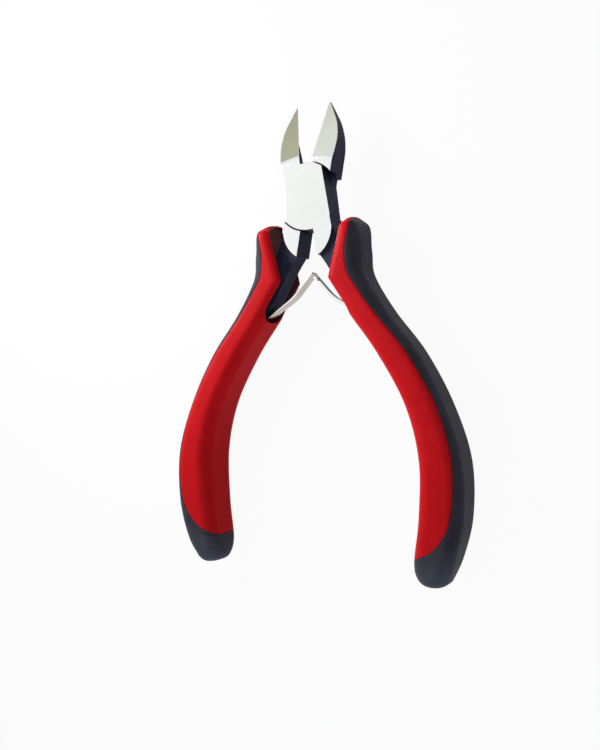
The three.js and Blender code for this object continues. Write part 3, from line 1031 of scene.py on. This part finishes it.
@dataclass
class SteelHalf:
    """One forged half: bright where it was ground, blackened elsewhere, with softened edges."""

    side: Side
    nodes: dict[str, bpy.types.Object]
    front_round: float = 0.9  # round between the joint's face and the jaw's ground facet, on the front half
    back_round: float = 0.25  # the same on the back half
    edge_round: float = 0.1
    round_steps: int = 3
    crease: float = 24.0  # degrees, above which an edge is softened
    facet_crease: float = 10.0  # the same between two faces to the front
    flatness: float = 0.5  # degrees, below which two faces are one
    merge: float = 0.002  # points this close are one
    facing: float = 0.85  # least upright part of a normal that counts as to the front or back
    face_slack: float = 0.1  # a face this close to the joint's front or back lies on it
    facet_start: float = 9.6  # pivot to the start of the jaw's ground facet
    rivet_zone: float = 3.6  # no softening this close to the pivot

    @property
    def facet_round(self) -> float:
        """Round between the joint's face and this jaw's ground facet, which is the widest round."""
        return self.front_round if self.side is Side.RIGHT else self.back_round

    def zone(self, face: bmesh.types.BMFace) -> Zone:
        """The zone that a face belongs to, by its place and the way it faces.

        Args:
            face: A face of the open tool.

        Returns:
            The zone.
        """
        centre = Matrix.Rotation(-self.side.sign * HALF_TURN, 3, "Z") @ face.calc_center_median() / MM
        if abs(face.normal.z) < self.facing:
            return Zone.BLACKENED
        if centre.y > self.facet_start:
            return Zone.GROUND
        on_face = centre.z > HEAD_THICKNESS - self.face_slack or centre.z < self.face_slack
        return Zone.POLISHED if on_face else Zone.BLACKENED

    def softening(self, edge: bmesh.types.BMEdge) -> float:
        """How much of the widest round an edge gets.

        Args:
            edge: An edge of the half.

        Returns:
            The share, from nothing to one.
        """
        near = all(vertex.co.xy.length < self.rivet_zone * MM for vertex in edge.verts)
        if near or len(edge.link_faces) != 2:
            return 0.0
        angle = math.degrees(edge.calc_face_angle())
        if angle > self.crease:
            return self.edge_round / self.facet_round
        to_front = all(face.normal.z > self.facing for face in edge.link_faces)
        return 1.0 if to_front and angle > self.facet_crease else 0.0

    def forged(self, node: str) -> bpy.types.Mesh:
        """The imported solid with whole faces, each in its zone, and its edges weighed for softening.

        Args:
            node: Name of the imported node.

        Returns:
            The mesh.
        """
        form = bmesh.new()
        form.from_mesh(self.nodes[node].data)
        bmesh.ops.remove_doubles(form, verts=form.verts, dist=self.merge * MM)
        flat = math.radians(self.flatness)
        bmesh.ops.dissolve_limit(form, angle_limit=flat, verts=form.verts, edges=form.edges)
        for face in form.faces:
            face.material_index = self.zone(face).value
        weights = form.edges.layers.float.new("bevel_weight_edge")
        for edge in form.edges:
            edge[weights] = self.softening(edge)
        return mesh_of(form, node)

    def dress(self, mesh: bpy.types.Mesh) -> None:
        """Give each zone its finish and shade the half smoothly.

        Args:
            mesh: The half's mesh.
        """
        for zone in Zone:
            mesh.materials.append(zone.finish.material())
        smooth_shade(mesh, self.crease)

    def soften(self, rough: bpy.types.Object) -> None:
        """Round the edges by their weights and keep the shading of the flat faces even.

        Args:
            rough: The half with sharp edges.
        """
        bevel = rough.modifiers.new("softened_edges", "BEVEL")
        bevel.limit_method = "WEIGHT"
        bevel.width = self.facet_round * MM
        bevel.segments = self.round_steps
        bevel.use_clamp_overlap = False
        even = rough.modifiers.new("even_faces", "WEIGHTED_NORMAL")
        even.keep_sharp = True

    def build(self) -> bpy.types.Object:
        """Make the dressed half and put it on its body.

        Returns:
            The piece.
        """
        node = f"{self.side.body}_half"
        mesh = self.forged(node)
        self.dress(mesh)
        rough = link("rough_half", mesh)
        self.soften(rough)
        piece = finished(rough, f"{self.side.body}_steel_half")
        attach(piece, self.side.body)
        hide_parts(node)
        return piece


@dataclass
class Rivet:
    """The pivot rivet, ground flush with the joint, so that only a hairline shows."""

    radius: float = 2.1
    head: float = 3.1
    hairline: float = 0.07  # the head almost fills its countersink
    steps: int = 96
    merge: float = 0.001  # points this close are one
    crease: float = 30.0  # degrees, above which an edge is shaded sharp

    def turned(self) -> bpy.types.Mesh:
        """The shaft with a cone at each end, turned about the pivot.

        Returns:
            The mesh.
        """
        head = self.head + self.hairline
        cone = head - self.radius
        profile = [(0, 0), (head, 0), (self.radius, cone), (self.radius, HEAD_THICKNESS - cone)]
        profile += [(head, HEAD_THICKNESS), (0, HEAD_THICKNESS)]
        form = bmesh.new()
        points = [form.verts.new((radius * MM, 0, height * MM)) for radius, height in profile]
        edges = [form.edges.new(pair) for pair in zip(points, points[1:])]
        bmesh.ops.spin(
            form,
            geom=points + edges,
            axis=(0, 0, 1),
            cent=(0, 0, 0),
            angle=2 * math.pi,
            steps=self.steps,
        )
        bmesh.ops.remove_doubles(form, verts=form.verts, dist=self.merge * MM)
        bmesh.ops.recalc_face_normals(form, faces=form.faces)
        return mesh_of(form, "rivet")

    def build(self) -> bpy.types.Object:
        """Make the dressed rivet and put it on the front body.

        Returns:
            The piece.
        """
        mesh = self.turned()
        smooth_shade(mesh, self.crease)
        mesh.materials.append(POLISHED.material())
        piece = link("flush_pivot_rivet", mesh)
        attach(piece, "front")
        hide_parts("pivot_rivet")
        return piece


class StripSide(Enum):
    """Sides of a spring strip, by the name of the node tree's input for their finish."""

    LOWER = "Lower Side"
    # the upper side takes a painted shade
    UPPER = "Upper Side"
    FRONT = "Front Edge"

    @property
    def finish(self) -> Finish:
        """The side's finish."""
        return {"LOWER": SPRING_STRIP, "UPPER": STRIP_PAINTED_SHADE, "FRONT": POLISHED}[self.name]

    @property
    def facing(self) -> tuple[str, float]:
        """The axis that the side faces and the least part of a normal along it; the first takes them all."""
        return {"LOWER": ("Y", -2.0), "UPPER": ("Y", 0.2), "FRONT": ("Z", 0.6)}[self.name]


@dataclass
class LeafSpring:
    """A spring strip from its slit in the tang to the middle line, where the two pass each other."""

    side: Side
    rails: GripRails = GripRails()
    width: float = 3.0
    thickness: float = 0.6
    seat_station: float = 4.0
    seat_rise: float = 0.9  # the seat lies this far under the grip's inner side
    seat_step: float = 0.001  # stations to each side over which that side's direction is measured
    apex: float = 19.0  # pivot to the point where the two strips meet
    overrun: float = 0.3
    bend: float = 1.15  # depth of the knee off the straight line
    knee: float = 0.51  # its place along the strip
    knee_round: float = 1.6
    knee_points: int = 12
    seat_depth: float = 2.0
    notch: float = 1.6  # length of the notch in the left strip's tip
    notch_front: float = -0.3  # the notch takes the strip behind this level, from its middle
    finger: Pair = (0.3, -0.5)  # front side of the right strip's finger, along it and at its tip
    finger_start: Pair = (1.0, 3.4)  # the right strip narrows to its finger between these lengths
    finger_end: Pair = (3.0, 1.6)  # the finger narrows to its tip between these lengths from the end
    strip_points: int = 60  # along the strip to the notch's shoulder
    tip_points: int = 9  # from there on
    edge_round: float = 0.09
    round_steps: int = 2
    crease: float = 35.0  # degrees, above which an edge is shaded sharp
    flexing: float = 0.7  # share of the strip, from its seat, that flexes on the real tool as it closes

    def seat(self) -> Line:
        """The point where the strip enters its slit.

        Returns:
            The point on the right side of the open tool, in millimetres.
        """
        before, here, after = (
            self.rails.inner_side(self.seat_station + step) for step in (-self.seat_step, 0, self.seat_step)
        )
        way = (after - before) / np.linalg.norm(after - before)
        closed = here + self.seat_rise * np.array((-way[1], way[0]))
        cos, sin = math.cos(HALF_TURN), math.sin(HALF_TURN)
        return np.array(((cos, -sin), (sin, cos))) @ closed

    def path(self) -> Line:
        """The strip's middle line from the bottom of the slit to the tip.

        Returns:
            Its points on the right side of the open tool, in millimetres.
        """
        seat, apex = self.seat(), np.array((0, -self.apex))
        chord = apex - seat
        inward = np.array((-chord[1], chord[0])) / np.linalg.norm(chord)
        knee = seat + self.knee * chord + self.bend * inward
        root_way = (knee - seat) / np.linalg.norm(knee - seat)
        tip_way = (apex - knee) / np.linalg.norm(apex - knee)
        start, end = knee - self.knee_round * root_way, knee + self.knee_round * tip_way
        bottom = seat - self.seat_depth * root_way
        tip = apex + tip_way * self.overrun / abs(tip_way[0])
        return np.vstack([[bottom, start], bezier(start, knee, end, self.knee_points), [end, tip]])

    def levels(self, at: float, whole: float) -> Triple:
        """Back, middle and front of the strip's width.

        Args:
            at: Length from the strip's root.
            whole: Length of the strip.

        Returns:
            The three levels, in millimetres from the strip's middle.
        """
        tall = self.width / 2
        if self.side is Side.LEFT:
            return -tall, self.notch_front, tall
        wide, narrow = self.finger
        lengths = (*self.finger_start, *(whole - left for left in self.finger_end))
        front = float(np.interp(at, lengths, (tall, wide, wide, narrow)))
        return -tall, (front - tall) / 2, front

    def flat_strip(self, length: float) -> bpy.types.Mesh:
        """The strip before it is bent: X along it, Y through it and Z across it.

        Args:
            length: Length of the strip, in millimetres.

        Returns:
            The closed mesh, in metres.
        """
        shoulder, upper = length - self.notch, self.thickness / 2
        to_shoulder = np.linspace(0, shoulder, self.strip_points)
        stations = [*to_shoulder, *np.linspace(shoulder, length, self.tip_points)[1:]]
        form = bmesh.new()
        grid = [[form.verts.new((at, upper, z)) for z in self.levels(at, length)] for at in stations]
        for k in range(len(stations) - 1):
            for row in range(2):
                notched = self.side is Side.LEFT and row == 0 and stations[k] > shoulder - TINY
                if not notched:
                    low, high = grid[k], grid[k + 1]
                    form.faces.new((low[row], low[row + 1], high[row + 1], high[row]))
        loose = [vertex for vertex in form.verts if not vertex.link_faces]
        bmesh.ops.delete(form, geom=loose, context="VERTS")
        made = bmesh.ops.extrude_face_region(form, geom=form.faces[:], use_keep_orig=True)
        moved = [item for item in made["geom"] if isinstance(item, bmesh.types.BMVert)]
        bmesh.ops.translate(form, verts=moved, vec=(0, -self.thickness, 0))
        bmesh.ops.recalc_face_normals(form, faces=form.faces)
        form.transform(Matrix.Scale(MM, 4))
        return mesh_of(form, "flat_strip")

    @staticmethod
    def bending_tree() -> bpy.types.NodeTree:
        """The node tree that lays a flat strip along a path.

        Returns:
            The tree, with inputs Path, Middle and the three finishes.
        """
        found = bpy.data.node_groups.get("strip_along_path")
        if found:
            return found
        tree = bpy.data.node_groups.new("strip_along_path", "GeometryNodeTree")
        tree.interface.new_socket("Strip", in_out="INPUT", socket_type="NodeSocketGeometry")
        tree.interface.new_socket("Path", in_out="INPUT", socket_type="NodeSocketObject")
        tree.interface.new_socket("Middle", in_out="INPUT", socket_type="NodeSocketFloat")
        for side in StripSide:
            tree.interface.new_socket(side.value, in_out="INPUT", socket_type="NodeSocketMaterial")
        tree.interface.new_socket("Spring", in_out="OUTPUT", socket_type="NodeSocketGeometry")
        add, join = tree.nodes.new, tree.links.new
        given, result = add("NodeGroupInput"), add("NodeGroupOutput")
        place = add("ShaderNodeSeparateXYZ")
        join(add("GeometryNodeInputPosition").outputs[0], place.inputs[0])
        path = add("GeometryNodeObjectInfo")
        join(given.outputs["Path"], path.inputs["Object"])
        sample = add("GeometryNodeSampleCurve")
        sample.mode = "LENGTH"
        join(path.outputs["Geometry"], sample.inputs["Curves"])
        join(place.outputs["X"], sample.inputs["Length"])
        across = add("ShaderNodeVectorMath")
        across.operation = "CROSS_PRODUCT"
        across.inputs[0].default_value = (0, 0, 1)
        join(sample.outputs["Tangent"], across.inputs[1])
        through = add("ShaderNodeVectorMath")
        through.operation = "SCALE"
        join(across.outputs["Vector"], through.inputs[0])
        join(place.outputs["Y"], through.inputs["Scale"])
        level = add("ShaderNodeMath")
        join(place.outputs["Z"], level.inputs[0])
        join(given.outputs["Middle"], level.inputs[1])
        height = add("ShaderNodeCombineXYZ")
        join(level.outputs[0], height.inputs["Z"])
        in_plane, whole = add("ShaderNodeVectorMath"), add("ShaderNodeVectorMath")
        join(sample.outputs["Position"], in_plane.inputs[0])
        join(through.outputs["Vector"], in_plane.inputs[1])
        join(in_plane.outputs["Vector"], whole.inputs[0])
        join(height.outputs["Vector"], whole.inputs[1])
        bend = add("GeometryNodeSetPosition")
        join(given.outputs["Strip"], bend.inputs["Geometry"])
        join(whole.outputs["Vector"], bend.inputs["Position"])
        real = add("GeometryNodeRealizeInstances")
        join(bend.outputs["Geometry"], real.inputs["Geometry"])
        normal = add("ShaderNodeSeparateXYZ")
        join(add("GeometryNodeInputNormal").outputs["Normal"], normal.inputs[0])
        geometry = real.outputs["Geometry"]
        for side in StripSide:
            axis, least = side.facing
            faces = add("FunctionNodeCompare")
            faces.operation = "GREATER_THAN"
            join(normal.outputs[axis], faces.inputs["A"])
            faces.inputs["B"].default_value = least
            dress = add("GeometryNodeSetMaterial")
            join(geometry, dress.inputs["Geometry"])
            join(faces.outputs["Result"], dress.inputs["Selection"])
            join(given.outputs[side.value], dress.inputs["Material"])
            geometry = dress.outputs["Geometry"]
        join(geometry, result.inputs["Spring"])
        return tree

    def path_object(self) -> bpy.types.Object:
        """The middle line as a curve object, in metres.

        Returns:
            The curve on this side of the open tool.
        """
        curve = bpy.data.curves.new("spring_path", "CURVE")
        curve.dimensions = "3D"
        points = self.path() * (self.side.sign, 1) * MM
        line = curve.splines.new("POLY")
        line.points.add(len(points) - 1)
        for knot, (x, y) in zip(line.points, points):
            knot.co = (x, y, 0, 1)
        return link("spring_path", curve)

    def bent(self) -> bpy.types.Object:
        """The strip with broken edges, laid along its path and dressed by the node tree.

        Returns:
            The plain piece.
        """
        path = self.path_object()
        length = lengths_along(self.path())[-1]
        rough = link("flat_strip", self.flat_strip(length))
        bevel = rough.modifiers.new("broken_edges", "BEVEL")
        bevel.limit_method = "ANGLE"
        bevel.width = self.edge_round * MM
        bevel.segments = self.round_steps
        tree = self.bending_tree()
        bend = rough.modifiers.new("bend", "NODES")
        bend.node_group = tree
        given = {"Path": path, "Middle": MIDDLE * MM}
        given |= {side.value: side.finish.material() for side in StripSide}
        for socket in tree.interface.items_tree:
            if socket.in_out == "INPUT" and socket.name in given:
                bend[socket.identifier] = given[socket.name]
        piece = finished(rough, f"{self.side.value}_spring_strip")
        bpy.data.objects.remove(path)
        smooth_shade(piece.data, self.crease)
        return piece

    def build(self) -> bpy.types.Object:
        """Make the dressed strip and hide the imported one.

        Returns:
            The piece.
        """
        piece = self.bent()
        seat, tip = self.seat() * MM, self.path()[-1] * MM
        self.side.body
        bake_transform(piece)
        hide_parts(f"{self.side.value}_leaf_spring")
        return piece


@dataclass(frozen=True)
class Lamp:
    """A square soft light that faces the joint."""

    name: str
    place: Triple  # m
    size: float  # side of the square, m
    power: float  # W
    tint: Colour = (1, 1, 1)
    spread: float = 180.0  # width of the beam, degrees

    def build(self) -> None:
        """Hang the lamp in its place."""
        light = bpy.data.lights.new(self.name, "AREA")
        light.size = self.size
        light.energy = self.power
        light.color = self.tint
        light.spread = math.radians(self.spread)
        holder = link(self.name, light)
        holder.location = self.place
        holder.rotation_euler = Vector(self.place).to_track_quat("Z", "Y").to_euler()


@dataclass
class Studio:
    """White table, soft overhead light with a darker surround, and the camera of the photograph."""

    table: float = 12.0  # side of the table, m
    table_height: float = -3.6  # mm
    table_tone: float = 0.8  # in the light that it throws back
    table_white: float = 0.94  # share of plain white that the camera sees; the rest takes the shadow
    image_width: int = 600
    image_height: int = 750
    focal: float = 850.0  # pixels
    distance: float = 212.5  # mm from the camera to the pivot, along its axis
    nearest: float = 0.01  # m, from where the camera sees
    azimuth: float = 30.0  # degrees, camera to the right of the joint's face
    roll: float = 0.7  # degrees, the tool leans to the left
    pivot: Pair = (312.5, 198.5)  # pixel of the pivot at mid thickness
    sensor: float = 36.0
    sky_fill: float = 0.23  # the sky's share in the light on matt surfaces
    sky_tones: tuple[tuple[float, Colour], ...] = (  # by height, nothing at the horizon and one overhead
        (0.22, (0.95, 0.95, 0.95)),
        (0.42, (0.34, 0.33, 0.3)),
        (0.54, (0.5, 0.49, 0.31)),
        (0.6, (0.8, 0.82, 0.77)),
        (0.71, (0.95, 0.99, 1.0)),
        (0.8, (1.0, 1.0, 1.0)),
    )
    lamps: tuple[Lamp, ...] = (
        Lamp("key_light", place=(-0.16, 0.05, 0.11), size=0.08, power=0.2, spread=110),
        Lamp("toe_light", place=(-0.05, -0.42, 0.08), size=0.15, power=0.6, tint=(0.72, 0.85, 1)),
        Lamp("cool_fill", place=(0.25, 0.05, 0.4), size=0.25, power=0.25, tint=(0.85, 0.85, 1)),
    )

    def white(self) -> bpy.types.Material:
        """The table's material: white to the camera and in reflections, with a light shadow.

        Returns:
            The material.
        """
        material = bpy.data.materials.new("white_table")
        material.use_nodes = True
        tree = material.node_tree
        tree.nodes.clear()
        add, join = tree.nodes.new, tree.links.new
        output = add("ShaderNodeOutputMaterial")
        matt = add("ShaderNodeBsdfDiffuse")
        matt.inputs["Color"].default_value = (self.table_tone, self.table_tone, self.table_tone, 1)
        glow = add("ShaderNodeEmission")
        glow.inputs["Color"].default_value = (1, 1, 1, 1)
        glow.inputs["Strength"].default_value = 1
        rays = add("ShaderNodeLightPath")
        seen = rays.outputs["Is Camera Ray"]
        for kind in ("Is Glossy Ray", "Is Transmission Ray"):
            either = add("ShaderNodeMath")
            either.operation = "MAXIMUM"
            join(seen, either.inputs[0])
            join(rays.outputs[kind], either.inputs[1])
            seen = either.outputs[0]
        share = add("ShaderNodeMath")
        share.operation = "MULTIPLY"
        share.inputs[1].default_value = self.table_white
        join(seen, share.inputs[0])
        mix = add("ShaderNodeMixShader")
        join(share.outputs[0], mix.inputs["Fac"])
        join(matt.outputs["BSDF"], mix.inputs[1])
        join(glow.outputs["Emission"], mix.inputs[2])
        join(mix.outputs["Shader"], output.inputs["Surface"])
        return material

    def floor(self) -> None:
        """The table under the tool."""
        half, height = self.table / 2, self.table_height * MM
        corners = [(x * half, y * half, height) for x, y in ((-1, -1), (1, -1), (1, 1), (-1, 1))]
        mesh = bpy.data.meshes.new("table")
        mesh.from_pydata(corners, [], [(0, 1, 2, 3)])
        mesh.materials.append(self.white())
        table = link("table", mesh)

    def sky(self) -> None:
        """Soft light from above and a light horizon, with a grey band between them."""
        world = bpy.data.worlds.new("studio")
        bpy.context.scene.world = world
        world.use_nodes = True
        tree = world.node_tree
        tree.nodes.clear()
        add, join = tree.nodes.new, tree.links.new
        height = add("ShaderNodeSeparateXYZ")
        join(add("ShaderNodeTexCoord").outputs["Generated"], height.inputs[0])
        ramp = add("ShaderNodeValToRGB")
        join(height.outputs["Z"], ramp.inputs["Fac"])
        elements = ramp.color_ramp.elements
        while len(elements) < len(self.sky_tones):
            elements.new(0.5)
        for element, (place, colour) in zip(elements, self.sky_tones):
            element.position = place
            element.color = (*colour, 1)
        background, output = add("ShaderNodeBackground"), add("ShaderNodeOutputWorld")
        join(ramp.outputs["Color"], background.inputs["Color"])
        strength = add("ShaderNodeMapRange")
        join(add("ShaderNodeLightPath").outputs["Is Diffuse Ray"], strength.inputs["Value"])
        strength.inputs["To Min"].default_value = 1
        strength.inputs["To Max"].default_value = self.sky_fill
        join(strength.outputs["Result"], background.inputs["Strength"])
        join(background.outputs["Background"], output.inputs["Surface"])

    def camera(self) -> None:
        """The camera, placed so that the pivot lies on its pixel."""
        turn, lean = math.radians(self.azimuth), math.radians(self.roll)
        level = Vector((math.cos(turn), 0, -math.sin(turn)))
        back = Vector((math.sin(turn), 0, math.cos(turn)))
        upright = Vector((0, 1, 0))
        right = level * math.cos(lean) - upright * math.sin(lean)
        up = upright * math.cos(lean) + level * math.sin(lean)
        scale = self.distance / self.focal
        aside = (self.pivot[0] - self.image_width / 2) * scale
        above = (self.image_height / 2 - self.pivot[1]) * scale
        place = Vector((0, 0, MIDDLE)) + back * self.distance - right * aside - up * above
        data = bpy.data.cameras.new("camera")
        data.sensor_width = self.sensor
        data.lens = self.sensor * self.focal / self.image_height
        data.clip_start = self.nearest
        holder = link("camera", data)
        axes = Matrix((right, up, back)).transposed().to_4x4()
        holder.matrix_world = Matrix.Translation(place * MM) @ axes
        bpy.context.scene.camera = holder

    def build(self) -> None:
        """Set up the table, the lights and the camera."""
        bpy.context.scene.view_settings.view_transform = "Standard"
        self.floor()
        self.sky()
        for lamp in self.lamps:
            lamp.build()
        self.camera()


def main() -> None:
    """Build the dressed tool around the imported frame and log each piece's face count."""
    logging.basicConfig(level=logging.INFO, format="%(message)s")
    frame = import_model()
    Studio().build()
    pieces = [Rivet().build()]
    for side in Side:
        pieces.append(SteelHalf(side, frame["nodes"]).build())
        pieces.append(LeafSpring(side).build())
        pieces += Grip(side).build()
    for piece in pieces:
        LOG.info("%s: %d faces", piece.name, len(piece.data.polygons))


if __name__ == "__main__":
    main()
